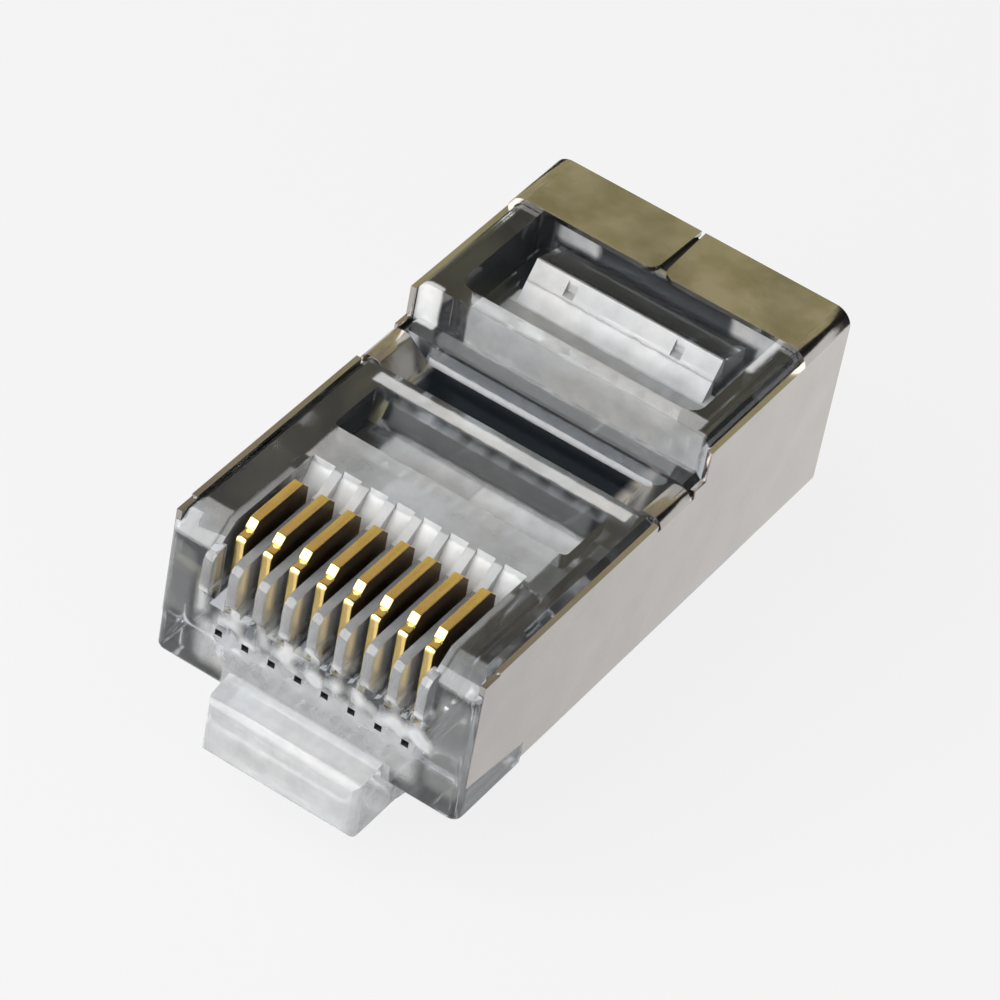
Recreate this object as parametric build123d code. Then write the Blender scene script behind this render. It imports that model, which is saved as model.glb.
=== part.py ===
from build123d import *
import os

# A shielded eight-way modular plug for network cable, uncrimped, in millimetres.
# X runs across the plug, +Y from its nose to the cable, +Z from the latch side to the contact side.
# The origin is the middle of the nose's lower edge: y = 0 is the front face and z = 0 the underside.

# Overall form
plug_width = 11.68
plug_length = 21.1
nose_height = 5.95
block_height = 7.42
block_front_y = 12.8
fit_gap = 0.02
fuse_depth = 0.2

# Shield sheet
sheet = 0.2
shield_front_y = 0.22
shield_bend = 0.5
panel_drop = 0.07
panel_front_drop = 0.1
panel_step_y = 0.99
rear_panel_drop = 0.34
rear_panel_lead = 0.12
collar_length = 2.8
collar_bend = 0.65
collar_seam = 0.3
collar_seam_round = 0.45
underside_seam = 0.15
side_notch_front_z = 1.45
side_notch_rear_z = 1.05
side_notch_rear_y = 3.5
latch_window_side_gap = 0.39
latch_window_end_gap = 1.24
latch_window_round = 0.5

# Strap over the housing, and the groove under it
strap_ridge = 0.95
strap_width = 1.75
strap_sink = 0.75
strap_shoulder_width = 0.69
strap_ramp_width = 0.95
strap_bend = 0.42
strap_rise = 0.09
strap_relief = 0.2
strap_relief_depth = 0.3
groove_side_gap = 0.15

# Nose of the housing
nose_side_round = 0.36
top_bevel = 0.27
nose_top_chamfer_y = 0.9
nose_top_chamfer_z = 0.7
nose_bottom_chamfer = 0.3
nose_corner_round = 0.3

# Contacts and the comb that guides them
contact_count = 8
contact_pitch = 1.02
blade_thickness = 0.35
blade_front_y = 0.45
blade_length = 3.4
blade_top_z = 6.17
blade_tip_z = 2.15
blade_point_height = 0.75
blade_points = 3
blade_ledge_drop = 0.37
blade_ledge_length = 0.45
blade_front_round = 0.2
blade_top_chamfer = 0.25
blade_rear_chamfer = 0.37
blade_slot_gap = 0.015
comb_side_room = 0.315
comb_depth = 0.53
comb_ramp_gap = 0.3
comb_ramp_length = 0.9
slot_floor_z = 3.05
slot_rear_gap = 0.2
slot_rear_step = 1.25
fin_thickness = 0.34
fin_round = 0.5
fin_reach = 0.45
fin_root_height = 0.25
fin_root_slope = 0.6

# Conductor channels and vents
channel_diameter = 0.92
channel_axis_z = 1.6
channel_front_y = 0.9
vent_side = 0.28
vent_z = 2.05

# Pressing trough behind the comb
trough_gap = 1.58
trough_length = 2.52
trough_side_room = 0.39
trough_depth = 1.25
trough_draft = 0.35
trough_round = 0.2

# Clamp bar in the window of the rear block
window_front_wall = 0.7
window_under_collar = 0.6
window_side_wall = 1.02
window_floor_z = 5.75
window_round = 0.6
clamp_length = 2.4
clamp_nose_length = 0.9
clamp_rear_gap = 0.6
clamp_side_gap = 0.97
clamp_top_z = 7.0
clamp_rear_z = 6.6
clamp_mark_side = 0.4
clamp_mark_x = 2.1
clamp_mark_y = 0.65
clamp_mark_rise = 0.7

# Cable cavity
cavity_side_wall = 1.02
cavity_floor_z = 0.8
clamp_web = 0.4
cavity_front_gap = 0.2
mouth_top_wall = 0.67
mouth_length = 1.9
throat_length = 3.4
throat_ceiling_z = 2.25
fan_front_y = 6.4
fan_side_room = 0.07
housing_rear_inset = 0.15

# Lip at the nose and the latch behind it
lip_reach = 1.25
lip_half_width = 2.95
lip_top_z = 0.42
lip_root_z = 0.75
lip_bottom_z = -1.8
lip_rear_y = 1.35
lip_round = 0.4
hinge_y = 1.45
hinge_z = -1.25
knuckle_radius = 0.5
knuckle_gap = 0.03
latch_angle = 10.5
latch_half_width = 3.01
latch_shoulder_y = 8.36
latch_shoulder_thickness = 1.15
latch_shoulder_round = 0.25
handle_half_width = 1.625
handle_thickness = 1.1
handle_end_y = 14.6
handle_end_round = 0.35
handle_corner_round = 0.5

# Sizes that follow from the ones above
plug_half = plug_width / 2
panel_height = nose_height - panel_drop
panel_front_height = panel_height - panel_front_drop
rear_panel_height = block_height - rear_panel_drop
rear_panel_front_y = block_front_y - rear_panel_lead
strap_top_z = panel_height + strap_rise
housing_half = plug_half - sheet - fit_gap
underside_z = sheet + fit_gap
collar_front_y = plug_length - collar_length
collar_top_z = block_height + fit_gap + sheet
housing_rear_y = plug_length - housing_rear_inset
pad_rear_y = side_notch_rear_y - fit_gap
overshoot = 2.0

contact_xs = [(i - (contact_count - 1) / 2) * contact_pitch for i in range(contact_count)]
fin_xs = [x + contact_pitch / 2 for x in contact_xs[:-1]]
fin_top_z = nose_height - comb_depth
blade_rear_y = blade_front_y + blade_length
comb_half_width = contact_xs[-1] + blade_thickness / 2 + comb_side_room
comb_ramp_start_y = blade_rear_y + comb_ramp_gap
comb_ramp_end_y = comb_ramp_start_y + comb_ramp_length
slot_rear_y = blade_rear_y + slot_rear_gap

trough_front_y = comb_ramp_end_y + trough_gap
trough_rear_y = trough_front_y + trough_length
trough_half_width = comb_half_width + trough_side_room
strap_front_y = trough_rear_y + strap_ridge
strap_rear_y = strap_front_y + strap_width
strap_shoulder_half = plug_half - strap_shoulder_width
strap_flat_half = strap_shoulder_half - strap_ramp_width
strap_low_z = nose_height - strap_sink

window_front_y = block_front_y + window_front_wall
window_rear_y = collar_front_y + window_under_collar
window_half_width = housing_half - window_side_wall
clamp_rear_y = window_rear_y - clamp_rear_gap
clamp_front_y = clamp_rear_y - clamp_length
clamp_top_y = clamp_front_y + clamp_nose_length
clamp_half_width = window_half_width - clamp_side_gap
cavity_half_width = housing_half - cavity_side_wall
cavity_ceiling_z = window_floor_z - clamp_web
cavity_front_y = block_front_y + cavity_front_gap
throat_front_y = cavity_front_y - throat_length
mouth_front_y = plug_length - mouth_length
mouth_ceiling_z = block_height - mouth_top_wall
channel_floor_z = channel_axis_z - channel_diameter / 2
fan_half_width = contact_xs[-1] + channel_diameter / 2 + fan_side_room

latch_window_half = latch_half_width + latch_window_side_gap
latch_window_end_y = latch_shoulder_y + latch_window_end_gap


def side_face(*points):
    """A flat face in the side view, from (y, z) points in order."""
    return make_face(Plane.YZ * Polyline(*points, close=True))


def side_slab(half_width, *points):
    """The side-view outline as a slab, half_width to each side of the middle plane."""
    return extrude(side_face(*points), amount=half_width, both=True)


def block_between(x0, x1, y0, y1, z0, z1):
    """A box from its lowest and highest corners."""
    size = (x1 - x0, y1 - y0, z1 - z0)
    return Pos((x0 + x1) / 2, (y0 + y1) / 2, (z0 + z1) / 2) * Box(*size)


def housing_envelope():
    """Side, plan and end views of the moulding, crossed with each other."""
    side = side_slab(
        plug_half,
        (0, nose_bottom_chamfer),
        (0, nose_height - nose_top_chamfer_z),
        (nose_top_chamfer_y, nose_height),
        (block_front_y, nose_height),
        (block_front_y, block_height),
        (housing_rear_y, block_height),
        (housing_rear_y, underside_z),
        (pad_rear_y, underside_z),
        (pad_rear_y, 0),
        (nose_bottom_chamfer, 0),
    )
    plan = Pos(0, plug_length / 2) * Rectangle(plug_width, plug_length)
    plan = fillet(plan.vertices().group_by(Axis.Y)[0], nose_side_round)
    plan_slab = extrude(plan, amount=block_height)
    nose_end = end_slab(plug_half, 0, nose_corner_round, nose_corner_round, 0, pad_rear_y)
    main_end = end_slab(
        housing_half, underside_z, shield_bend - sheet, collar_bend - sheet, pad_rear_y, plug_length)
    return (side & plan_slab & (nose_end + main_end)) - top_bevels() - panel_recesses()


def top_bevels():
    """The bevels along the top side edges, beside the shield's panels."""
    inner_x = housing_half - top_bevel
    outer_x = plug_half + top_bevel
    wedge = make_face(Plane.XZ * Polyline(
        (inner_x, nose_height),
        (outer_x, nose_height - (outer_x - inner_x)),
        (outer_x, nose_height),
        close=True,
    ))
    right = extrude(wedge, amount=-block_front_y)
    return right + mirror(right, about=Plane.YZ)


def end_slab(half_width, bottom_z, bottom_round, top_round, y0, y1):
    """The end view between two stations: a rectangle with its lower and upper corners rounded."""
    height = block_height - bottom_z
    section = Pos(0, bottom_z + height / 2) * Rectangle(2 * half_width, height)
    section = fillet(section.vertices().group_by(Axis.Y)[0], bottom_round)
    section = fillet(section.vertices().group_by(Axis.Y)[-1], top_round)
    return Plane.XZ.offset(-y0) * extrude(section, amount=y0 - y1)


def panel_recesses():
    """Steps that take the side panels in, above two low pads that stay flush with the panels' outside."""
    front_y = shield_front_y - fit_gap
    recess = side_slab(
        plug_half + overshoot,
        (front_y, side_notch_front_z - fit_gap),
        (pad_rear_y, side_notch_rear_z - fit_gap),
        (pad_rear_y, nose_height + overshoot),
        (front_y, nose_height + overshoot),
    )
    return recess - block_between(-housing_half, housing_half, 0, pad_rear_y, 0, nose_height + overshoot)


def comb_pocket():
    """Space above and between the fins, open at the top and the front."""
    return side_slab(
        comb_half_width,
        (-overshoot, slot_floor_z),
        (slot_rear_y, slot_floor_z),
        (slot_rear_y, slot_floor_z + slot_rear_step),
        (comb_ramp_end_y, nose_height),
        (comb_ramp_end_y, nose_height + overshoot),
        (-overshoot, nose_height + overshoot),
    )


def comb_fin(x):
    """One fin between two slots, bowed out past the nose at its front, with a ramp up to the housing's top."""
    root_z = slot_floor_z + fin_root_height
    round_start = (-fin_reach, fin_top_z - fin_round)
    round_end = (fin_round - fin_reach, fin_top_z)
    outline = Polyline(
        round_start,
        (-fin_reach, root_z + fin_root_slope),
        (0, root_z),
        (0, slot_floor_z - fuse_depth),
        (comb_ramp_end_y + fuse_depth, slot_floor_z - fuse_depth),
        (comb_ramp_end_y + fuse_depth, nose_height),
        (comb_ramp_end_y, nose_height),
        (comb_ramp_start_y, fin_top_z),
        round_end,
    ) + RadiusArc(round_end, round_start, -fin_round)
    face = make_face(Plane.YZ * outline)
    return Pos(x, 0, 0) * extrude(face, amount=fin_thickness / 2, both=True)


def blade_slot(x):
    """The narrow slot that grips one blade, down into its conductor channel."""
    half = blade_thickness / 2 + blade_slot_gap
    return block_between(
        x - half, x + half,
        blade_front_y - blade_slot_gap, blade_rear_y + blade_slot_gap,
        channel_axis_z, slot_floor_z + fuse_depth,
    )


def conductor_channel(x):
    """The round channel for one conductor, with a small square vent at its front end."""
    length = fan_front_y + fuse_depth - channel_front_y
    bore = Pos(x, channel_front_y + length / 2, channel_axis_z) * Rot(90, 0, 0) * Cylinder(
        channel_diameter / 2, length)
    vent = block_between(
        x - vent_side / 2, x + vent_side / 2, -overshoot, channel_front_y + channel_diameter / 2,
        vent_z - vent_side / 2, vent_z + vent_side / 2)
    return bore + vent


def pressing_trough():
    """The trough behind the comb, with a flat floor and a rear wall that leans back."""
    trough = side_slab(
        trough_half_width,
        (trough_front_y, nose_height + overshoot),
        (trough_front_y, nose_height - trough_depth),
        (trough_rear_y - trough_draft, nose_height - trough_depth),
        (trough_rear_y, nose_height),
        (trough_rear_y, nose_height + overshoot),
    )
    return fillet(trough.edges().filter_by(Axis.Z), trough_round)


def strap_line():
    """Front-view line of the strap's outside: up one panel, down into the groove, out to the other."""
    panel_z = panel_height - strap_bend
    return FilletPolyline(
        (-plug_half, panel_z),
        (-plug_half, strap_top_z),
        (-strap_shoulder_half, strap_top_z),
        (-strap_flat_half, strap_low_z),
        (strap_flat_half, strap_low_z),
        (strap_shoulder_half, strap_top_z),
        (plug_half, strap_top_z),
        (plug_half, panel_z),
        radius=strap_bend,
    )


def strap():
    """The sheet strap that joins the two side panels over the top."""
    section = make_face(offset(strap_line(), amount=sheet, side=Side.RIGHT))
    return Plane.XZ.offset(-strap_front_y) * extrude(section, amount=-strap_width)


def strap_groove():
    """The groove across the housing for the strap, deep in the middle and shallow over the panels."""
    line = strap_line()
    bed = make_face(offset(line, amount=sheet + fit_gap, side=Side.RIGHT))
    top = nose_height + overshoot
    above = make_face(line + Polyline(line @ 1, (plug_half, top), (-plug_half, top), line @ 0))
    place = Plane.XZ.offset(groove_side_gap - strap_front_y)
    width = strap_width + 2 * groove_side_gap
    return place * extrude(bed, amount=-width) + place * extrude(above, amount=-width)


def clamp_window():
    """The window in the rear block's top."""
    length = window_rear_y - window_front_y
    outline = Pos(0, (window_front_y + window_rear_y) / 2, window_floor_z) * RectangleRounded(
        2 * window_half_width, length, window_round)
    return extrude(outline, amount=block_height + overshoot - window_floor_z)


def clamp_bar():
    """The wedge that the crimping tool folds down on the cable, with two square core marks on its slope."""
    wedge = side_slab(
        clamp_half_width,
        (clamp_front_y, window_floor_z - fuse_depth),
        (clamp_front_y, window_floor_z),
        (clamp_top_y, clamp_top_z),
        (clamp_rear_y, clamp_rear_z),
        (clamp_rear_y, window_floor_z - fuse_depth),
    )
    half = clamp_mark_side / 2
    mark_y = clamp_front_y + clamp_mark_y
    for x in (-clamp_mark_x, clamp_mark_x):
        wedge -= block_between(
            x - half, x + half, mark_y - half, mark_y + half, window_floor_z + clamp_mark_rise, clamp_top_z)
    return wedge


def cable_cavity():
    """The space for the cable: a tall mouth, a chamber, a throat and the fan of conductors."""
    chamber = side_slab(
        cavity_half_width,
        (plug_length + overshoot, cavity_floor_z),
        (plug_length + overshoot, mouth_ceiling_z),
        (mouth_front_y, mouth_ceiling_z),
        (mouth_front_y, cavity_ceiling_z),
        (cavity_front_y, cavity_ceiling_z),
        (throat_front_y, throat_ceiling_z),
        (throat_front_y, cavity_floor_z),
    )
    fan = block_between(
        -fan_half_width, fan_half_width, fan_front_y, throat_front_y + fuse_depth,
        channel_floor_z, throat_ceiling_z)
    return chamber + fan


def nose_lip():
    """The lip in front of the nose and under it, which the latch grows out of."""
    lip = side_slab(
        lip_half_width,
        (-lip_reach, lip_bottom_z),
        (-lip_reach, lip_top_z),
        (0, lip_root_z),
        (fuse_depth, lip_root_z),
        (lip_rear_y, fuse_depth),
        (lip_rear_y, lip_bottom_z),
    )
    return fillet(lip.edges().group_by(Axis.Y)[0], lip_round)


def knuckle_seat():
    """The shallow round seat for the latch's root in the back of the lip."""
    seat = Pos(0, hinge_y, hinge_z) * Rot(0, 90, 0) * Cylinder(
        knuckle_radius + knuckle_gap, 2 * plug_half)
    under = block_between(
        -plug_half, plug_half, lip_rear_y - knuckle_gap, hinge_y + overshoot,
        lip_bottom_z - overshoot, 0)
    return seat, under


def housing():
    """The clear moulding."""
    body = housing_envelope() + nose_lip()
    body -= comb_pocket()
    for x in fin_xs:
        body += comb_fin(x)
    for x in contact_xs:
        body -= blade_slot(x) + conductor_channel(x)
    body -= pressing_trough()
    body -= strap_groove()
    body -= clamp_window()
    body += clamp_bar()
    body -= cable_cavity()
    for cutter in knuckle_seat():
        body -= cutter
    return body


def latch():
    """The lever: a wide wedge as far as its two shoulders, then a narrow handle."""
    slope = Rot(-latch_angle, 0, 0)
    reach = latch_shoulder_y - hinge_y
    full = handle_end_y - hinge_y
    wedge = side_slab(
        latch_half_width,
        (0, knuckle_radius),
        (reach, knuckle_radius),
        (reach, knuckle_radius - latch_shoulder_thickness),
        (0, -knuckle_radius),
    )
    knuckle = Rot(0, 90, 0) * Cylinder(knuckle_radius, 2 * latch_half_width)
    handle = side_slab(
        handle_half_width,
        (0, knuckle_radius),
        (full, knuckle_radius),
        (full, knuckle_radius - handle_thickness),
        (0, knuckle_radius - handle_thickness),
    )
    handle = fillet(handle.edges().filter_by(Axis.Z).group_by(Axis.Y)[-1], handle_corner_round)
    handle = fillet(handle.edges().filter_by(Axis.X).group_by(Axis.Y)[-1], handle_end_round)
    wedge = fillet(wedge.edges().filter_by(Axis.Z).group_by(Axis.Y)[-1], latch_shoulder_round)
    return Pos(0, hinge_y, hinge_z) * slope * (wedge + knuckle + handle)


def tube_section(inset):
    """The shield's end view, tighter at the lower bends than at the collar's, inset from its outside."""
    height = collar_top_z - 2 * inset
    section = Pos(0, collar_top_z / 2) * Rectangle(plug_width - 2 * inset, height)
    section = fillet(section.vertices().group_by(Axis.Y)[0], shield_bend - inset)
    return fillet(section.vertices().group_by(Axis.Y)[-1], collar_bend - inset)


def shield():
    """One folded sheet: underside, side panels, strap and collar."""
    tube = tube_section(0) - tube_section(sheet)
    tube = Plane.XZ.offset(-shield_front_y) * extrude(tube, amount=shield_front_y - plug_length)
    outline = side_slab(
        plug_half,
        (shield_front_y, side_notch_front_z),
        (shield_front_y, panel_front_height),
        (panel_step_y, panel_front_height),
        (panel_step_y, panel_height),
        (strap_front_y - strap_relief, panel_height),
        (strap_front_y - strap_relief, panel_height - strap_relief_depth),
        (strap_rear_y + strap_relief, panel_height - strap_relief_depth),
        (strap_rear_y + strap_relief, panel_height),
        (rear_panel_front_y, panel_height),
        (rear_panel_front_y, rear_panel_height),
        (collar_front_y, rear_panel_height),
        (collar_front_y, collar_top_z),
        (plug_length, collar_top_z),
        (plug_length, 0),
        (side_notch_rear_y, 0),
        (side_notch_rear_y, side_notch_rear_z),
    )
    body = tube & outline
    body += strap()
    window = Pos(0, latch_window_end_y / 2) * RectangleRounded(
        2 * latch_window_half, latch_window_end_y, latch_window_round)
    body -= extrude(window, amount=underside_z)
    body -= block_between(-underside_seam / 2, underside_seam / 2, 0, plug_length, 0, underside_z)
    body -= collar_seam_cut()
    return body


def collar_seam_cut():
    """The seam between the collar's two flaps, which have rounded corners at its front end."""
    half = collar_seam / 2
    r = collar_seam_round
    front = collar_front_y
    outline = Polyline(
        (half, front + r), (half, plug_length), (-half, plug_length), (-half, front + r),
    ) + RadiusArc((-half, front + r), (-half - r, front), r) + Line(
        (-half - r, front), (half + r, front),
    ) + RadiusArc((half + r, front), (half, front + r), r)
    return Pos(0, 0, block_height) * extrude(make_face(outline), amount=fit_gap + sheet)


def contact(x):
    """One flat blade: a shouldered contact edge on top and insulation-piercing points below."""
    ledge_y = blade_front_y + blade_ledge_length
    ledge_z = blade_top_z - blade_ledge_drop
    root_z = blade_tip_z + blade_point_height
    point_width = blade_length / blade_points
    outline = [
        (blade_front_y, ledge_z),
        (ledge_y, ledge_z),
        (ledge_y, blade_top_z - blade_top_chamfer),
        (ledge_y + blade_top_chamfer, blade_top_z),
        (blade_rear_y - blade_rear_chamfer, blade_top_z),
        (blade_rear_y, blade_top_z - blade_rear_chamfer),
        (blade_rear_y, root_z),
    ]
    for i in range(blade_points):
        outline.append((blade_rear_y - (i + 0.5) * point_width, blade_tip_z))
        outline.append((blade_rear_y - (i + 1) * point_width, root_z))
    blade = extrude(side_face(*outline), amount=blade_thickness / 2, both=True)
    front_corner = blade.edges().filter_by(Axis.X).group_by(Axis.Y)[0].sort_by(Axis.Z)[-1]
    return Pos(x, 0, 0) * fillet(front_corner, blade_front_round)


parts = {"housing": housing(), "latch": latch(), "shield": shield()}
for i, x in enumerate(contact_xs):
    parts[f"contact_{i + 1}"] = contact(x)

os.makedirs("parts", exist_ok=True)
for name, shape in parts.items():
    export_step(shape, f"parts/{name}.step")
    print(name, round(shape.volume, 3), shape.bounding_box())
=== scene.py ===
from math import cos, radians, sin

import bmesh
import bpy
from mathutils import Matrix, Quaternion, Vector


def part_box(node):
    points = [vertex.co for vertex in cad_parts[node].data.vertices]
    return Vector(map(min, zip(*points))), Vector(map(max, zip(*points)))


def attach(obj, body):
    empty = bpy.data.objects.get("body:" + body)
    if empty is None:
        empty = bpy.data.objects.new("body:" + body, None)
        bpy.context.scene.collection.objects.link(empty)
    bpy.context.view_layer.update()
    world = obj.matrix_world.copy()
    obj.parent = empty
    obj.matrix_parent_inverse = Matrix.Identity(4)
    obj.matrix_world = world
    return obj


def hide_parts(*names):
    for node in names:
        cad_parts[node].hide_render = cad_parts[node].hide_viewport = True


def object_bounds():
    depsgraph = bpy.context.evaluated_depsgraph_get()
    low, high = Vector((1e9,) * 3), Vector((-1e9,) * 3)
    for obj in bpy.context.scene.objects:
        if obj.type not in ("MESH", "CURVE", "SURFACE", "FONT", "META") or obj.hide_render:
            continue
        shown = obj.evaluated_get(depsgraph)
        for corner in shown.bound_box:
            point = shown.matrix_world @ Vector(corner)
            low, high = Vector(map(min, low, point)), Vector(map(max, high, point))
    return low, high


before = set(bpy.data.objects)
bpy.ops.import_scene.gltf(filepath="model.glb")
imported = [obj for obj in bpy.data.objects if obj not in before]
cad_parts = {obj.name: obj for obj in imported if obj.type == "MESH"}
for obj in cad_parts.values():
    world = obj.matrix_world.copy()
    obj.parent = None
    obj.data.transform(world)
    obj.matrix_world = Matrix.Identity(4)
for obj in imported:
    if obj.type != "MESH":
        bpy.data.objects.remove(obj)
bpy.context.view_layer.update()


# Housing.
# One clear polycarbonate moulding, the body that everything else sits in. Its corners carry the small
# radius of the mould, and the walls have the faint waviness of moulded plastic.
MM = 0.001
MERGE_DISTANCE = 0.0005 * MM
FLAT_ANGLE = radians(0.5)
CREASE_ANGLE = radians(38)
CORNER_SEGMENTS = 2
FULL_WEIGHT = 100
HOUSING_CORNER = 0.045 * MM

# The sill and the fins, in millimetres.
NOSE_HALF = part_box("housing")[1].x / MM
NOSE_ROUND = 0.36
NOSE_ROUND_SEGMENTS = 8
SILL_LENGTH = 3.48
SILL_HEIGHT = 1.0
SILL_ROUND = 0.22
SILL_ROUND_SEGMENTS = 6
SILL_REAR_MARGIN = 0.1
FIN_X = 4.08
FIN_THICKNESS = 0.34
FIN_REACH = 0.45
FIN_ROOT = 0.3
FIN_ROUND = 0.5
FIN_ROUND_STEPS = 8
FIN_TOP = 5.42
FIN_LOW = 3.3
FIN_SLOPE = 0.6

# The cloudy zones of the moulding, partly real cloudiness and partly painted light that stands in for light
# refracted through the clear plastic: lowest corner, highest corner, share and soft border, in millimetres.
FROST_AND_PAINTED_LIGHT = {
    "left_shoulder": ((-6.0, -0.1, 5.2), (-4.4, 1.1, 6.0), 0.4, 0.15),
    "right_shoulder": ((4.4, -0.1, 5.2), (6.0, 0.9, 6.0), 0.25, 0.15),
    "left_cheek": ((-5.9, -0.1, 2.2), (-5.0, 0.4, 4.6), 0.12, 0.4),
    "right_cheek": ((4.7, -0.1, 1.2), (5.6, 0.4, 4.6), 0.18, 0.5),
    "front": ((-4.0, -0.1, 0.9), (3.8, 0.4, 2.1), 0.45, 0.6),
    "fins": ((-4.2, -0.6, 3.8), (4.2, 4.0, 6.0), 0.32, 0.15),
    "slots": ((-4.0, 3.9, 2.6), (4.0, 4.9, 6.0), 1.0, 0.12),
    "strip": ((-4.2, 4.9, 4.4), (4.2, 6.6, 6.0), 0.48, 0.12),
    "trough_floor_left": ((-3.2, 7.4, 4.6), (0.0, 8.65, 4.75), 0.75, 0.3),
    "trough_floor": ((0.2, 7.4, 4.6), (4.3, 8.65, 4.75), 1.0, 0.3),
    "trough_wall": ((-3.6, 8.7, 5.0), (3.8, 9.1, 5.6), 0.13, 0.25),
    "ridge": ((-4.7, 9.3, 5.7), (4.9, 9.65, 6.0), 0.85, 0.15),
    "groove_foot": ((-4.3, 11.7, 5.0), (4.3, 12.0, 5.3), 1.0, 0.1),
    "block_face": ((-3.6, 12.7, 6.0), (5.3, 12.9, 7.5), 0.5, 0.12),
    "block_end": ((-5.7, 12.6, 5.9), (-4.8, 12.9, 7.4), 1.0, 0.15),
    "bar": ((-3.6, 12.9, 7.0), (5.0, 13.5, 7.5), 0.6, 0.12),
    "window_floor": ((-3.8, 14.4, 5.6), (4.2, 15.9, 5.8), 0.5, 0.15),
    "clamp": ((-3.8, 15.85, 5.7), (3.8, 16.4, 6.3), 0.85, 0.12),
    "clamp_nose": ((-3.8, 16.4, 6.4), (3.8, 16.85, 7.1), 0.6, 0.12),
    "left_patch": ((-3.9, 18.6, 6.5), (-2.7, 19.0, 7.1), 1.0, 0.35),
    "right_patch": ((3.9, 16.6, 5.6), (4.7, 18.9, 7.5), 1.0, 0.25),
    "rear_patch": ((2.9, 18.6, 6.4), (4.75, 19.0, 7.45), 1.0, 0.35),
    "lip": ((-3.2, -1.3, -1.9), (3.2, 1.6, 0.8), 0.55, 0.12),
}

# How far the borders of the zones wander, and the blotches over them.
FROST_DRIFT = 0.1 * MM
FROST_DRIFT_SIZE = 0.5 * MM
BLOT_SIZE = 0.8 * MM
BLOT_DETAIL = 3.0
BLOT_SPAN = (0.3, 0.7)
BLOT_LEAST = 0.75

# The foot of the comb, where clear and cloudy patches mix.
JUMBLE_LOW = (-4.3 * MM, -0.6 * MM, 2.3 * MM)
JUMBLE_HIGH = (4.3 * MM, 0.6 * MM, 3.9 * MM)
JUMBLE_EDGE = 0.4 * MM
JUMBLE_SIZE = 0.7 * MM
JUMBLE_SPAN = (0.35, 0.65)
JUMBLE_SHARE = 0.8

# The clear plastic and the cloudy one.
POLYCARBONATE_IOR = 1.585
CLEAR_TINT = (0.6, 0.63, 0.66, 1.0)
CLEAR_TRANSMISSION = 0.97
CLEAR_ROUGHNESS = 0.04
WAVE_ROUGHNESS = 0.08
WAVE_SIZE = 2.2 * MM
WAVE_DEPTH = 0.014 * MM
CLOUDY_COOL = (0.80, 0.85, 0.91)
CLOUDY_WARM = (0.95, 0.91, 0.86)
CLOUDY_TINT_SIZE = 3 * MM
CLOUDY_TRANSMISSION = 0.35
CLOUDY_ROUGHNESS = 0.25
HAZE = 0.0
# The rounds of the creases are cloudier, a painted highlight along every edge.
EDGE_HIGHLIGHT_HAZE = 0.6

# Painted shade on the plastic: a dark tone in the vents under the blades, in the seam's depth and over the
# cavity behind the clamp.
PAINTED_SHADE_TONE = (0.02, 0.02, 0.02, 1.0)
PAINTED_SHADE_ROUGHNESS = 0.6
BLADE_COUNT = 8
BLADE_PITCH = (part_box("contact_8")[0].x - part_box("contact_1")[0].x) / (BLADE_COUNT - 1)
VENT_HALF = 0.15 * MM
VENT_LOW = (-4.0 * MM, 0.04 * MM, 1.9 * MM)
VENT_HIGH = (4.0 * MM, 0.9 * MM, 2.2 * MM)
VENT_EDGE = 0.02 * MM
SEAM_SHADE_LOW = (-0.3 * MM, 18.3 * MM, 7.35 * MM)
SEAM_SHADE_HIGH = (0.3 * MM, 21.0 * MM, 7.45 * MM)
SEAM_SHADE_EDGE = 0.1 * MM
CLAMP_SHADE_LOW = (-3.3 * MM, 17.2 * MM, 6.3 * MM)
CLAMP_SHADE_HIGH = (3.3 * MM, 18.5 * MM, 6.9 * MM)
CLAMP_SHADE_EDGE = 0.35 * MM
CLAMP_SHADE_SHARE = 0.8


class Socket:
    """An output of a node, with the maths that the finishes need."""

    def __init__(self, tree, output):
        self.tree = tree
        self.output = output

    def _math(self, operation, first, second):
        node = self.tree.nodes.new("ShaderNodeMath")
        node.operation = operation
        for place, value in enumerate((first, second)):
            if isinstance(value, Socket):
                self.tree.links.new(value.output, node.inputs[place])
            else:
                node.inputs[place].default_value = value
        return Socket(self.tree, node.outputs[0])

    def __add__(self, other):
        return self._math("ADD", self, other)

    def __sub__(self, other):
        return self._math("SUBTRACT", self, other)

    def __rsub__(self, other):
        return self._math("SUBTRACT", other, self)

    def __mul__(self, other):
        return self._math("MULTIPLY", self, other)

    __radd__ = __add__
    __rmul__ = __mul__


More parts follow.
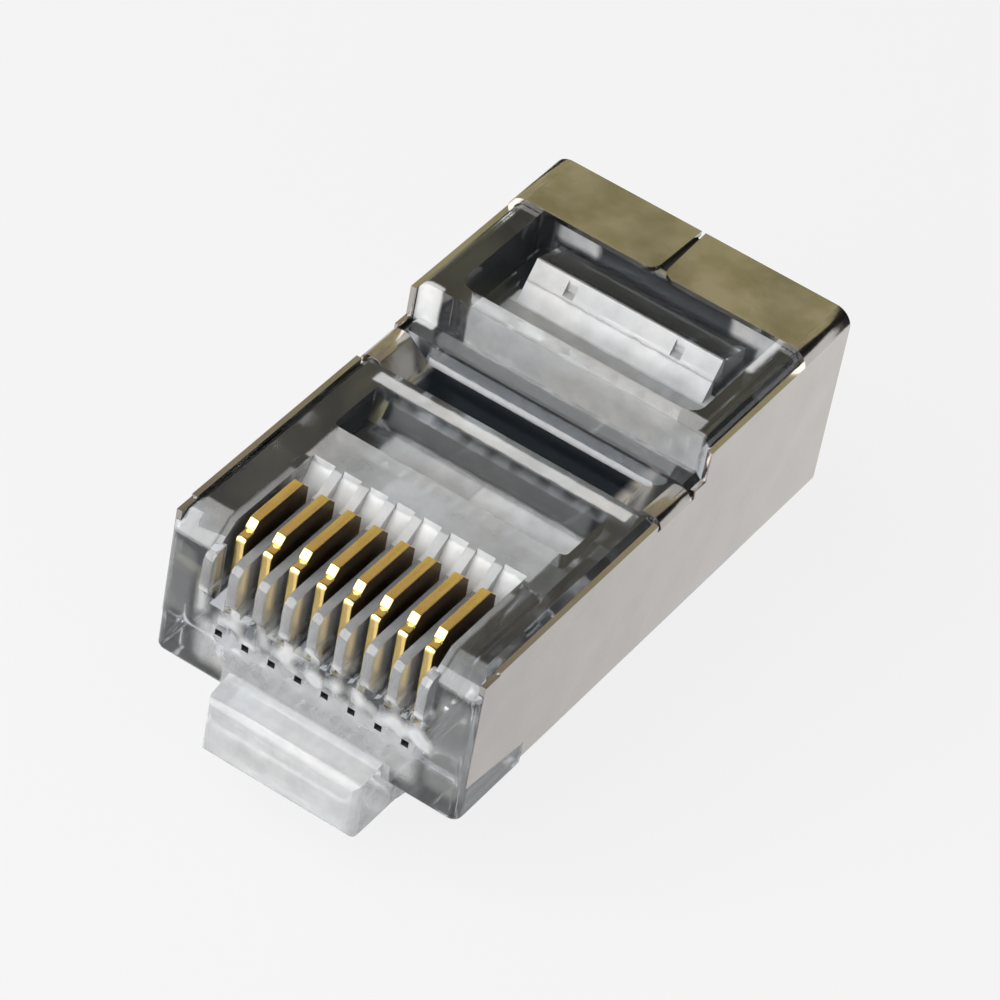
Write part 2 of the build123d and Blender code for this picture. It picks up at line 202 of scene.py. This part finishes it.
class Finish:
    """A material's node tree. Its patterns stand still on the object, in metres."""

    def __init__(self, name, tree=None):
        self.material = None
        if tree is None:
            self.material = bpy.data.materials.new(name)
            self.material.use_nodes = True
            tree = self.material.node_tree
        tree.nodes.clear()
        self.tree = tree

    def node(self, kind, settings, inputs, output=0):
        """Adds a node: its settings first, then the values or links of its sockets."""
        node = self.tree.nodes.new("ShaderNode" + kind)
        for name, value in settings.items():
            if name == "stops":
                while len(node.color_ramp.elements) < len(value):
                    node.color_ramp.elements.new(1.0)
                for element, (place, colour) in zip(node.color_ramp.elements, value):
                    element.position = place
                    element.color = (*colour, 1.0)
            else:
                setattr(node, name, value)
        for name, value in inputs.items():
            if isinstance(value, Socket):
                self.tree.links.new(value.output, node.inputs[name])
            else:
                node.inputs[name].default_value = value
        return Socket(self.tree, node.outputs[output])

    def place(self):
        """The point on the object, in its own metres."""
        return self.node("TexCoord", {}, {}, "Object")

    def noise(self, size, detail=2.0):
        """Soft noise, 0 to 1, with features of about that size."""
        return self.node("TexNoise", {}, {"Vector": self.place(), "Scale": 1 / size, "Detail": detail})

    def stretched(self, value, span, least=0.0):
        """A value mapped so that its span, low to high, becomes least to 1."""
        low, high = span
        return self.node("MapRange", {}, {"Value": value, "From Min": low, "From Max": high, "To Min": least})

    def bump(self, height, depth):
        """A normal that follows a height pattern of that depth, in metres."""
        return self.node("Bump", {}, {"Height": height, "Distance": depth, "Strength": 1.0}, "Normal")

    def between(self, amount, colour_a, colour_b):
        """A colour between two, by an amount from 0 to 1."""
        return self.mixed(amount, (*colour_a, 1.0), (*colour_b, 1.0))

    def mixed(self, amount, first, second):
        """A blend of two colours or links, by an amount from 0 to 1."""
        return self.node("Mix", {"data_type": "RGBA"}, {"Factor": amount, 6: first, 7: second}, 2)

    def inside(self, low, high, soft, place=None):
        """1 in the box between two corners, in metres, and 0 outside it, with a soft border."""
        middle = [(a + b) / 2 for a, b in zip(low, high)]
        half = [(b - a) / 2 for a, b in zip(low, high)]
        offset = self.node("VectorMath", {"operation": "SUBTRACT"}, {0: place or self.place(), 1: middle})
        away = self.node("VectorMath", {"operation": "ABSOLUTE"}, {0: offset})
        past = self.node("VectorMath", {"operation": "SUBTRACT"}, {0: away, 1: half})
        past = self.node("VectorMath", {"operation": "MAXIMUM"}, {0: past, 1: (0.0, 0.0, 0.0)})
        past = self.node("VectorMath", {"operation": "LENGTH"}, {0: past}, "Value")
        return self.node("MapRange", {"interpolation_type": "SMOOTHSTEP"}, {
            "Value": past, "From Max": soft, "To Min": 1.0, "To Max": 0.0})

    def surface(self, shader):
        """The material, with that shader as its surface."""
        output = self.tree.nodes.new("ShaderNodeOutputMaterial")
        self.tree.links.new(shader.output, output.inputs["Surface"])
        return self.material


def add_object(name, data):
    """A new object in the scene, at the origin."""
    item = bpy.data.objects.new(name, data)
    bpy.context.scene.collection.objects.link(item)
    return item


def merge_flat_faces(mesh):
    """Joins doubled points, and triangles that lie in one plane, into whole faces."""
    form = bmesh.new()
    form.from_mesh(mesh)
    bmesh.ops.remove_doubles(form, verts=form.verts, dist=MERGE_DISTANCE)
    bmesh.ops.dissolve_limit(form, angle_limit=FLAT_ANGLE, verts=form.verts, edges=form.edges)
    form.to_mesh(mesh)
    form.free()


def copy_of(node, name):
    """A piece with the form of a CAD node, its triangles merged into whole faces."""
    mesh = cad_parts[node].data.copy()
    mesh.name = name
    mesh.materials.clear()
    merge_flat_faces(mesh)
    return add_object(name, mesh)


def settled(piece):
    """Turns what a piece's modifiers make into its own mesh."""
    evaluated = piece.evaluated_get(bpy.context.evaluated_depsgraph_get())
    mesh = bpy.data.meshes.new_from_object(evaluated)
    piece.modifiers.clear()
    piece.data = mesh
    return piece


def solid_between(low, high):
    """A box between two corners in millimetres, as a form to work on and then join to a piece."""
    form = bmesh.new()
    size = Vector(high) - Vector(low)
    bmesh.ops.create_cube(form, size=1.0)
    bmesh.ops.scale(form, verts=form.verts, vec=size * MM)
    bmesh.ops.translate(form, verts=form.verts, vec=(Vector(low) + size / 2) * MM)
    return form


def joined(piece, form):
    """The piece with a form fused to it. The form is used up."""
    mesh = bpy.data.meshes.new("addition")
    bmesh.ops.recalc_face_normals(form, faces=form.faces)
    form.to_mesh(mesh)
    form.free()
    addition = add_object("addition", mesh)
    union = piece.modifiers.new("union", "BOOLEAN")
    union.operation = "UNION"
    union.solver = "EXACT"
    union.object = addition
    settled(piece)
    bpy.data.objects.remove(addition)
    merge_flat_faces(piece.data)
    return piece


def nose_sill():
    """The foot of the nose, whose lower edges have a full round."""
    form = solid_between((-NOSE_HALF, 0.0, 0.0), (NOSE_HALF, SILL_LENGTH, SILL_HEIGHT))
    uprights = [edge for edge in form.edges
                if abs(edge.verts[0].co.z - edge.verts[1].co.z) > MERGE_DISTANCE
                and edge.verts[0].co.y < MERGE_DISTANCE]
    bmesh.ops.bevel(form, geom=uprights, offset=NOSE_ROUND * MM, segments=NOSE_ROUND_SEGMENTS,
                    affect="EDGES", profile=0.5)
    below = [edge for edge in form.edges
             if max(vert.co.z for vert in edge.verts) < MERGE_DISTANCE
             and min(vert.co.y for vert in edge.verts) < (SILL_LENGTH - SILL_REAR_MARGIN) * MM]
    bmesh.ops.bevel(form, geom=below, offset=SILL_ROUND * MM, segments=SILL_ROUND_SEGMENTS,
                    affect="EDGES", profile=0.5)
    return form


def outer_fin(x):
    """One of the two outermost fins, which bow out in front of the nose as those between the slots do."""
    form = bmesh.new()
    outline = [(-FIN_REACH, FIN_LOW + FIN_SLOPE), (0.0, FIN_LOW), (FIN_ROOT, FIN_LOW), (FIN_ROOT, FIN_TOP)]
    for step in range(FIN_ROUND_STEPS + 1):
        turn = radians(90 * step / FIN_ROUND_STEPS)
        outline.append((FIN_ROUND * (1 - sin(turn)) - FIN_REACH, FIN_TOP - FIN_ROUND * (1 - cos(turn))))
    corners = [form.verts.new(Vector((x - FIN_THICKNESS / 2, y, z)) * MM) for y, z in outline]
    side = form.faces.new(corners)
    wall = bmesh.ops.extrude_face_region(form, geom=[side])
    moved = [item for item in wall["geom"] if isinstance(item, bmesh.types.BMVert)]
    bmesh.ops.translate(form, verts=moved, vec=(FIN_THICKNESS * MM, 0, 0))
    return form


def with_round_corners(piece, radius, corner_slot=0):
    """Rounds every crease of a piece, in a material slot of its own, and keeps its flat faces flat."""
    for polygon in piece.data.polygons:
        polygon.use_smooth = True
    bevel = piece.modifiers.new("corners", "BEVEL")
    bevel.limit_method = "ANGLE"
    bevel.angle_limit = CREASE_ANGLE
    bevel.width = radius
    bevel.segments = CORNER_SEGMENTS
    bevel.use_clamp_overlap = True
    bevel.material = corner_slot
    flats = piece.modifiers.new("flats", "WEIGHTED_NORMAL")
    flats.mode = "FACE_AREA"
    flats.weight = FULL_WEIGHT
    return settled(piece)


def cloudiness_and_painted_light(finish, haze):
    """How cloudy the plastic is, 0 to 1: a haze all over, the foot of the comb and the cloudy zones, which
    are partly painted light.
    """
    drift = finish.node("TexNoise", {}, {"Vector": finish.place(), "Scale": 1 / FROST_DRIFT_SIZE}, "Color")
    drift = finish.node("VectorMath", {"operation": "MULTIPLY_ADD"}, {
        0: drift, 1: [FROST_DRIFT] * 3, 2: [-FROST_DRIFT / 2] * 3})
    moved = finish.node("VectorMath", {"operation": "ADD"}, {0: finish.place(), 1: drift})
    speckle = finish.stretched(finish.noise(JUMBLE_SIZE, 0.0), JUMBLE_SPAN)
    frost_and_light = finish.inside(JUMBLE_LOW, JUMBLE_HIGH, JUMBLE_EDGE) * speckle * JUMBLE_SHARE + haze
    # Each zone is part cloudy plastic and part painted light.
    for low, high, amount, soft in FROST_AND_PAINTED_LIGHT.values():
        low, high = [Vector(corner) * MM for corner in (low, high)]
        zone = finish.inside(low, high, soft * MM, moved) * amount
        frost_and_light = finish.node("Math", {"operation": "MAXIMUM"}, {0: zone, 1: frost_and_light})
    patchy = finish.stretched(finish.noise(BLOT_SIZE, BLOT_DETAIL), BLOT_SPAN, least=BLOT_LEAST)
    return finish.node("Clamp", {}, {"Value": frost_and_light * patchy})


def painted_shade(finish):
    """Where shade is painted on the plastic, which looks into the dark there: the vents, under the collar's
    seam and behind the clamp.
    """
    across = finish.node("SeparateXYZ", {}, {0: finish.place()}, "X")
    beside = finish.node("Math", {"operation": "PINGPONG"}, {0: across, 1: BLADE_PITCH / 2})
    in_line = finish.node("Math", {"operation": "GREATER_THAN"}, {0: beside, 1: BLADE_PITCH / 2 - VENT_HALF})
    vent = in_line * finish.inside(VENT_LOW, VENT_HIGH, VENT_EDGE)
    seam = finish.inside(SEAM_SHADE_LOW, SEAM_SHADE_HIGH, SEAM_SHADE_EDGE)
    behind_clamp = finish.inside(CLAMP_SHADE_LOW, CLAMP_SHADE_HIGH, CLAMP_SHADE_EDGE) * CLAMP_SHADE_SHARE
    return finish.node("Clamp", {}, {"Value": vent + seam + behind_clamp})


def clear_plastic(name, haze):
    """Clear where the mould is polished, and cloudy where the comb, the lip and the clamp come out of it. The
    cloudy zones are partly painted light, and shade is painted in the vents, under the seam and behind the
    clamp.
    """
    finish = Finish(name)
    waves = finish.noise(WAVE_SIZE)
    normal = finish.bump(waves, WAVE_DEPTH)
    clear = finish.node("BsdfPrincipled", {}, {
        "Base Color": CLEAR_TINT,
        "Roughness": waves * WAVE_ROUGHNESS + CLEAR_ROUGHNESS,
        "IOR": POLYCARBONATE_IOR,
        "Transmission Weight": CLEAR_TRANSMISSION,
        "Normal": normal,
    })
    cloudy = finish.node("BsdfPrincipled", {}, {
        "Base Color": finish.between(finish.noise(CLOUDY_TINT_SIZE), CLOUDY_COOL, CLOUDY_WARM),
        "Roughness": CLOUDY_ROUGHNESS,
        "IOR": POLYCARBONATE_IOR,
        "Transmission Weight": CLOUDY_TRANSMISSION,
        "Normal": normal,
    })
    # A dark tone painted on as shade.
    dark = finish.node("BsdfPrincipled", {}, {"Base Color": PAINTED_SHADE_TONE, "Roughness": PAINTED_SHADE_ROUGHNESS})
    plastic = finish.node("MixShader", {}, {0: cloudiness_and_painted_light(finish, haze), 1: clear, 2: cloudy})
    return finish.surface(finish.node("MixShader", {}, {0: painted_shade(finish), 1: plastic, 2: dark}))


CLEAR_PLASTIC = clear_plastic("clear_polycarbonate", HAZE)
# The creases' rounds get the cloudier plastic: a painted highlight along the edges.
EDGE_HIGHLIGHT_PLASTIC = clear_plastic("polycarbonate_edge_highlight", EDGE_HIGHLIGHT_HAZE)
housing = joined(copy_of("housing", "clear_housing"), nose_sill())
for fin_x in (-FIN_X, FIN_X):
    joined(housing, outer_fin(fin_x))
housing.data.materials.append(CLEAR_PLASTIC)
housing.data.materials.append(EDGE_HIGHLIGHT_PLASTIC)
with_round_corners(housing, HOUSING_CORNER, corner_slot=1)
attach(housing, "plug_body")
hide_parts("housing")


# Contacts.
# Eight flat blades stamped from one strip and gold plated. Each stands in its slot, 1.02 mm from the next,
# and its stamped edges are a little rounded.
CONTACT_NODES = [f"contact_{i + 1}" for i in range(BLADE_COUNT)]
BLADE_CORNER = 0.03 * MM
GOLD_DEEP = (0.90, 0.62, 0.20)
GOLD_LIGHT = (1.0, 0.78, 0.33)
GOLD_SIZE = 0.7 * MM
GOLD_ROUGHNESS = 0.12
# The flat sides, which face along X, are painted dark brown as shade.
SIDE_SHADE_DARK = (0.10, 0.06, 0.02)
SIDE_SHADE_LIGHT = (0.2, 0.13, 0.05)
SIDE_ROUGHNESS = 0.2
SIDE_SPAN = (0.5, 0.9)
SCUFF_SIZE = 0.12 * MM
SCUFF_DETAIL = 4.0
SCUFF_DEPTH = 0.004 * MM
SCUFF_ROUGHNESS = 0.2


def gold_plating():
    """Bright gold, with painted shade on the flat sides that the fins cover: a dark brown copy of the gold
    there.
    """
    finish = Finish("gold_plating")
    tone = finish.noise(GOLD_SIZE)
    scuffs = finish.noise(SCUFF_SIZE, SCUFF_DETAIL)
    facing = finish.node("TexCoord", {}, {}, "Normal")
    across = finish.node("SeparateXYZ", {}, {0: facing}, "X")
    low, high = SIDE_SPAN
    side = finish.node("MapRange", {"interpolation_type": "SMOOTHSTEP"}, {
        "Value": across * across, "From Min": low, "From Max": high})
    bright = finish.between(tone, GOLD_DEEP, GOLD_LIGHT)
    # Painted shade: a dark copy of the gold for the flat sides.
    side_shade = finish.between(tone, SIDE_SHADE_DARK, SIDE_SHADE_LIGHT)
    shader = finish.node("BsdfPrincipled", {}, {
        "Base Color": finish.mixed(side, bright, side_shade),
        "Metallic": 1.0,
        "Roughness": scuffs * SCUFF_ROUGHNESS + side * SIDE_ROUGHNESS + GOLD_ROUGHNESS,
        "Normal": finish.bump(scuffs, SCUFF_DEPTH),
    })
    return finish.surface(shader)


def blade_row():
    """A Geometry Nodes tree that stands copies of one blade in a row along X."""
    tree = bpy.data.node_groups.new("blade_row", "GeometryNodeTree")
    tree.interface.new_socket("Blade", in_out="INPUT", socket_type="NodeSocketGeometry")
    tree.interface.new_socket("Count", in_out="INPUT", socket_type="NodeSocketInt")
    tree.interface.new_socket("Pitch", in_out="INPUT", socket_type="NodeSocketFloat")
    tree.interface.new_socket("Finish", in_out="INPUT", socket_type="NodeSocketMaterial")
    tree.interface.new_socket("Row", in_out="OUTPUT", socket_type="NodeSocketGeometry")
    start = tree.nodes.new("NodeGroupInput")
    end = tree.nodes.new("NodeGroupOutput")
    step = tree.nodes.new("ShaderNodeCombineXYZ")
    line = tree.nodes.new("GeometryNodeMeshLine")
    stand = tree.nodes.new("GeometryNodeInstanceOnPoints")
    real = tree.nodes.new("GeometryNodeRealizeInstances")
    coat = tree.nodes.new("GeometryNodeSetMaterial")
    tree.links.new(start.outputs["Pitch"], step.inputs["X"])
    tree.links.new(start.outputs["Count"], line.inputs["Count"])
    tree.links.new(step.outputs["Vector"], line.inputs["Offset"])
    tree.links.new(line.outputs["Mesh"], stand.inputs["Points"])
    tree.links.new(start.outputs["Blade"], stand.inputs["Instance"])
    tree.links.new(stand.outputs["Instances"], real.inputs["Geometry"])
    tree.links.new(real.outputs["Geometry"], coat.inputs["Geometry"])
    tree.links.new(start.outputs["Finish"], coat.inputs["Material"])
    tree.links.new(coat.outputs["Geometry"], end.inputs["Row"])
    return tree


def add_tree(piece, tree, **values):
    """Puts a Geometry Nodes tree on a piece, with its named inputs set."""
    modifier = piece.modifiers.new(tree.name, "NODES")
    modifier.node_group = tree
    for item in tree.interface.items_tree:
        if item.item_type == "SOCKET" and item.in_out == "INPUT" and item.name in values:
            modifier[item.identifier] = values[item.name]
    return piece


contacts = with_round_corners(copy_of("contact_1", "contact_blades"), BLADE_CORNER)
settled(add_tree(contacts, blade_row(), Count=BLADE_COUNT, Pitch=BLADE_PITCH, Finish=gold_plating()))
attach(contacts, "plug_body")
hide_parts(*CONTACT_NODES)


# Latch.
# The locking lever under the plug, moulded in one piece with the housing on the real plug. It bends at its
# root behind the nose's lip, and is of the same clear plastic.
LATCH_CORNER = 0.05 * MM

latch = copy_of("latch", "locking_latch")
latch.data.materials.append(CLEAR_PLASTIC)
latch.data.materials.append(EDGE_HIGHLIGHT_PLASTIC)
with_round_corners(latch, LATCH_CORNER, corner_slot=1)
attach(latch, "latch_lever")
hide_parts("latch")


# Shield.
# One folded sheet, nickel plated, round the housing's sides and underside, with the strap over the groove
# and the collar round the cable's entry. The sheet's cut edges are slightly rounded.
SHEET_CORNER = 0.04 * MM
SHEET_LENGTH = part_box("shield")[1].y
NICKEL_DARK = (0.36, 0.34, 0.32)
NICKEL_BRIGHT = (0.58, 0.55, 0.52)
NICKEL_ROUGHNESS = 0.1
NICKEL_DEPTH = 0.008 * MM
CLOUD_SIZE = 1.8 * MM
CLOUD_DETAIL = 3.0
CLOUD_SHARE = 0.6
CLOUD_ROUGHNESS = 0.12
# How much lighter the sheet is painted towards the cable's end, a painted gradient of light.
REAR_PAINTED_LIGHT = 0.6
DARKENING = 0.1
GRAIN_SIZE = 0.2 * MM
GRAIN_DETAIL = 4.0
GRAIN_SHARE = 0.4
GRAIN_ROUGHNESS = 0.06

# The inner side and the strap, made dark with painted shade, and the collar, mottled olive.
INNER_LOW = (-5.7 * MM, 0.0, 0.12 * MM)
INNER_HIGH = (5.7 * MM, 20.6 * MM, 4.9 * MM)
INNER_EDGE = 0.05 * MM
SHEET_PAINTED_SHADE = (0.02, 0.025, 0.032, 1.0)
INNER_ROUGHNESS = 0.25
STRAP_LOW = (-3.9 * MM, 10.0 * MM, 4.9 * MM)
STRAP_HIGH = (3.6 * MM, 12.0 * MM, 5.35 * MM)
STRAP_EDGE = 0.4 * MM
COLLAR_LOW = (-5.2 * MM, 18.5 * MM, 7.5 * MM)
COLLAR_HIGH = (5.2 * MM, 21.2 * MM, 7.7 * MM)
COLLAR_EDGE = 0.3 * MM
COLLAR_OLIVE = (0.36, 0.35, 0.26, 1.0)
COLLAR_OLIVE_SIZE = 1.3 * MM
COLLAR_OLIVE_SPAN = (0.38, 0.62)
COLLAR_OLIVE_SHARE = 0.7

# The collar's seam: where it narrows, half its width, and half its width at the cable's end.
SEAM_LOW = 7.3 * MM
SEAM_REACH = 0.62 * MM
SEAM_REAR = 20.5 * MM
SEAM_HALF = 0.15 * MM
SEAM_HALF_AT_REAR = 0.075 * MM
SEAM_CORNER_SHARE = 0.1


def nickel_plating():
    """Bright outside, painted lighter towards the cable's end and mottled olive on the collar; rougher
    inside, and dark with painted shade inside and on the strap.
    """
    finish = Finish("nickel_plating")
    cloud = finish.noise(CLOUD_SIZE, CLOUD_DETAIL)
    grain = finish.noise(GRAIN_SIZE, GRAIN_DETAIL)
    # Painted light: the tone grows lighter towards the cable's end.
    along = finish.node("SeparateXYZ", {}, {0: finish.place()}, "Y") * (1 / SHEET_LENGTH)
    tone = cloud * CLOUD_SHARE + along * REAR_PAINTED_LIGHT - DARKENING
    bright = finish.between(tone, NICKEL_DARK, NICKEL_BRIGHT)
    # The collar's top is mottled olive grey.
    collar = finish.inside(COLLAR_LOW, COLLAR_HIGH, COLLAR_EDGE)
    mottle = finish.stretched(finish.noise(COLLAR_OLIVE_SIZE), COLLAR_OLIVE_SPAN)
    bright = finish.mixed(mottle * collar * COLLAR_OLIVE_SHARE, bright, COLLAR_OLIVE)
    # Painted shade: the inner side and the strap are made dark.
    inner = finish.inside(INNER_LOW, INNER_HIGH, INNER_EDGE)
    strap = finish.inside(STRAP_LOW, STRAP_HIGH, STRAP_EDGE)
    painted_dark = finish.node("Clamp", {}, {"Value": inner + strap})
    rough = cloud * CLOUD_ROUGHNESS + grain * GRAIN_ROUGHNESS + inner * INNER_ROUGHNESS + NICKEL_ROUGHNESS
    shader = finish.node("BsdfPrincipled", {}, {
        "Base Color": finish.mixed(painted_dark, bright, SHEET_PAINTED_SHADE),
        "Metallic": 1.0,
        "Roughness": rough,
        "Normal": finish.bump(cloud * CLOUD_SHARE + grain * GRAIN_SHARE, NICKEL_DEPTH),
    })
    return finish.surface(shader)


def narrow_seam(mesh):
    """Narrows the collar's seam towards the cable's end."""
    for vert in mesh.vertices:
        x, y, z = vert.co
        if z > SEAM_LOW and y > SEAM_REAR and SEAM_HALF / 2 < abs(x) < SEAM_REACH:
            half = SEAM_HALF_AT_REAR + (abs(x) - SEAM_HALF) * SEAM_CORNER_SHARE
            vert.co.x = half if x > 0 else -half


shield = copy_of("shield", "folded_shield")
narrow_seam(shield.data)
with_round_corners(shield, SHEET_CORNER)
shield.data.materials.append(nickel_plating())
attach(shield, "plug_body")
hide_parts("shield")


# Studio.
# A pale floor under the latch, soft light from two lamps, and the camera, which looks down on the nose.
# Three dark cards and a banded one are seen only in reflections and through the plastic.
PALE = 0.905
FLOOR_SIZE = 1.2
FLOOR_TONE = (0.8, 0.8, 0.8, 1.0)
FLOOR_GLOW = 0.93
FLOOR_SHADE_LOW = (-5 * MM, 2 * MM, -8 * MM)
FLOOR_SHADE_HIGH = (5 * MM, 20 * MM, 0.0)
FLOOR_SHADE_EDGE = 1.5 * MM
SKY_LEVEL = 0.3
WHITE = (1.0, 1.0, 1.0, 1.0)

# The camera, as fitted to the photograph.
LENS = 207.6
SENSOR = 36.0
CAMERA_PLACE = Vector((61.70, -112.62, 126.29)) * MM
CAMERA_LOOK = Vector((-0.33406, 0.66547, -0.66750))
CAMERA_ROLL = radians(11.18)

# The banded card, which stands where the flat tops mirror it into the camera.
BAND_MIDDLE = Vector((0.0, 10.9, 5.2)) * MM
BAND_DISTANCE = 25 * MM
BAND_SIZE = 50 * MM
BAND_CLOUD_SIZE = 2.6 * MM
BAND_CLOUD_GAIN = 2.8
BAND_CLOUD_LOSS = 0.4

# Each top's place along Y and its height, in millimetres, and the colour it mirrors.
BANDS = (
    (3.8, 6.17, (0.42, 0.36, 0.27)),
    (12.0, 5.95, (0.50, 0.45, 0.27)),
)

# The lamps and the dark cards: their direction from the plug's middle or their place, in metres.
KEY_WAY = Vector((-0.334, -0.68, 0.65))
KEY_DISTANCE = 0.16
KEY_SIZE = (0.16, 0.18)
KEY_POWER = 0.42
FILL_WAY = Vector((0.8, -0.5, 0.35))
FILL_DISTANCE = 0.2
FILL_SIZE = (0.12, 0.12)
FILL_POWER = 0.12
CARD_TONE = (0.01, 0.01, 0.012)
CEILING_PLACE = (0.0, 0.0, 0.17)
CEILING_SIZE = (0.9, 0.9)
CEILING_TONE = (0.012, 0.012, 0.014)
MOUTH_PLACE = (0.0, 0.0215, 0.0036)
MOUTH_TARGET = (0.0, 0.0, 0.0036)
MOUTH_SIZE = (0.0108, 0.0068)
REAR_WAY = Vector((-0.1, 1.0, 0.1))
REAR_DISTANCE = 0.03
REAR_SIZE = (0.05, 0.05)


def ray_kinds(finish):
    """Whether a ray comes from the camera, and whether it comes by metal or through plastic."""
    camera, glossy, through = [finish.node("LightPath", {}, {}, kind) for kind in
                               ("Is Camera Ray", "Is Glossy Ray", "Is Transmission Ray")]
    return camera, finish.node("Clamp", {}, {"Value": glossy + through})


def add_sheet(name, size, level=0.0):
    """A flat rectangle round the origin, with that level in its own mesh."""
    width, length = size
    form = bmesh.new()
    bmesh.ops.create_grid(form, x_segments=1, y_segments=1, size=0.5)
    bmesh.ops.scale(form, verts=form.verts, vec=(width, length, 1.0))
    bmesh.ops.translate(form, verts=form.verts, vec=(0, 0, level))
    mesh = bpy.data.meshes.new(name)
    form.to_mesh(mesh)
    form.free()
    return add_object(name, mesh)


def add_floor(level):
    """A floor that looks evenly pale and keeps the plug's shadow. Under the plug, metal sees it shaded."""
    floor = add_sheet("floor", (FLOOR_SIZE, FLOOR_SIZE), level)
    finish = Finish("pale_floor")
    plain = finish.node("BsdfDiffuse", {}, {"Color": FLOOR_TONE})
    glow = finish.node("Emission", {}, {"Color": (PALE, PALE, PALE, 1.0), "Strength": 1.0})
    camera, mirrored = ray_kinds(finish)
    shaded = finish.inside(FLOOR_SHADE_LOW, FLOOR_SHADE_HIGH, FLOOR_SHADE_EDGE)
    share = (camera + mirrored * (1 - shaded)) * FLOOR_GLOW
    floor.data.materials.append(finish.surface(finish.node("MixShader", {}, {0: share, 1: plain, 2: glow})))


def add_lamp(name, place, size, power, target):
    """A soft rectangular lamp that faces its target."""
    data = bpy.data.lights.new(name, "AREA")
    data.shape = "RECTANGLE"
    data.size, data.size_y = size
    data.energy = power
    lamp = add_object(name, data)
    lamp.location = Vector(place)
    lamp.rotation_euler = (Vector(target) - lamp.location).to_track_quat("-Z", "Y").to_euler()


def leave_to_mirrors(card):
    """Hides a card from the camera and from soft light. Reflections and rays through plastic still see it."""
    card.visible_camera = False
    card.visible_diffuse = False
    card.visible_shadow = False


def add_card(name, place, size, target, tone):
    """A dark card that faces its target."""
    card = add_sheet(name, size)
    card.location = Vector(place)
    card.rotation_euler = (Vector(target) - card.location).to_track_quat("Z", "Y").to_euler()
    finish = Finish(name)
    shade = finish.node("Emission", {}, {"Color": (*tone, 1.0), "Strength": 1.0})
    card.data.materials.append(finish.surface(shade))
    leave_to_mirrors(card)


def add_banded_card():
    """The card that the plug's flat tops mirror, in bands for the contacts and for the strap and collar."""
    away = CAMERA_LOOK.reflect(Vector((0, 0, 1)))
    across = (Vector((1, 0, 0)) - away * away.x).normalized()
    along = away.cross(across)
    spread = 1 + BAND_DISTANCE / (CAMERA_PLACE - BAND_MIDDLE).length
    card = add_sheet("banded_card", (BAND_SIZE, BAND_SIZE))
    card.location = BAND_MIDDLE + away * BAND_DISTANCE
    card.rotation_euler = Matrix((across, along, away)).transposed().to_euler()
    finish = Finish("banded_card")
    height = finish.node("SeparateXYZ", {}, {0: finish.place()}, "Y")
    stops = []
    for station, level, colour in BANDS:
        offset = along.dot(Vector((0, station, level)) * MM - BAND_MIDDLE) * spread
        stops.append((offset / BAND_SIZE + 0.5, colour))
    bands = finish.node("ValToRGB", {"stops": stops}, {0: height * (1 / BAND_SIZE) + 0.5})
    clouds = finish.noise(BAND_CLOUD_SIZE, 1.0) * BAND_CLOUD_GAIN - BAND_CLOUD_LOSS
    glow = finish.node("Emission", {}, {"Color": bands, "Strength": clouds})
    card.data.materials.append(finish.surface(glow))
    leave_to_mirrors(card)


def add_world():
    """An even sky. The camera, metal and plastic see it as pale as the floor, and it lights the plug less."""
    world = bpy.data.worlds.new("studio")
    bpy.context.scene.world = world
    world.use_nodes = True
    finish = Finish("studio", world.node_tree)
    camera, mirrored = ray_kinds(finish)
    strength = (camera + mirrored) * (PALE - SKY_LEVEL) + SKY_LEVEL
    sky = finish.node("Background", {}, {"Color": WHITE, "Strength": strength})
    output = finish.tree.nodes.new("ShaderNodeOutputWorld")
    finish.tree.links.new(sky.output, output.inputs["Surface"])


def add_camera():
    """The camera at the photograph's viewing angle."""
    data = bpy.data.cameras.new("camera")
    data.lens = LENS
    data.sensor_width = SENSOR
    camera = add_object("camera", data)
    camera.location = CAMERA_PLACE
    turn = CAMERA_LOOK.to_track_quat("-Z", "Y") @ Quaternion((0, 0, 1), CAMERA_ROLL)
    camera.rotation_euler = turn.to_euler()
    bpy.context.scene.camera = camera


low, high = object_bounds()
middle = (low + high) / 2
add_floor(low.z)
add_lamp("key", middle + KEY_WAY * KEY_DISTANCE, KEY_SIZE, KEY_POWER, middle)
add_lamp("fill", middle + FILL_WAY * FILL_DISTANCE, FILL_SIZE, FILL_POWER, middle)
add_card("ceiling_card", CEILING_PLACE, CEILING_SIZE, (0.0, 0.0, 0.0), CEILING_TONE)
add_banded_card()
add_card("mouth_card", MOUTH_PLACE, MOUTH_SIZE, MOUTH_TARGET, CARD_TONE)
add_card("rear_card", middle + REAR_WAY * REAR_DISTANCE, REAR_SIZE, middle, CARD_TONE)
add_world()
add_camera()
bpy.context.scene.view_settings.view_transform = "Standard"
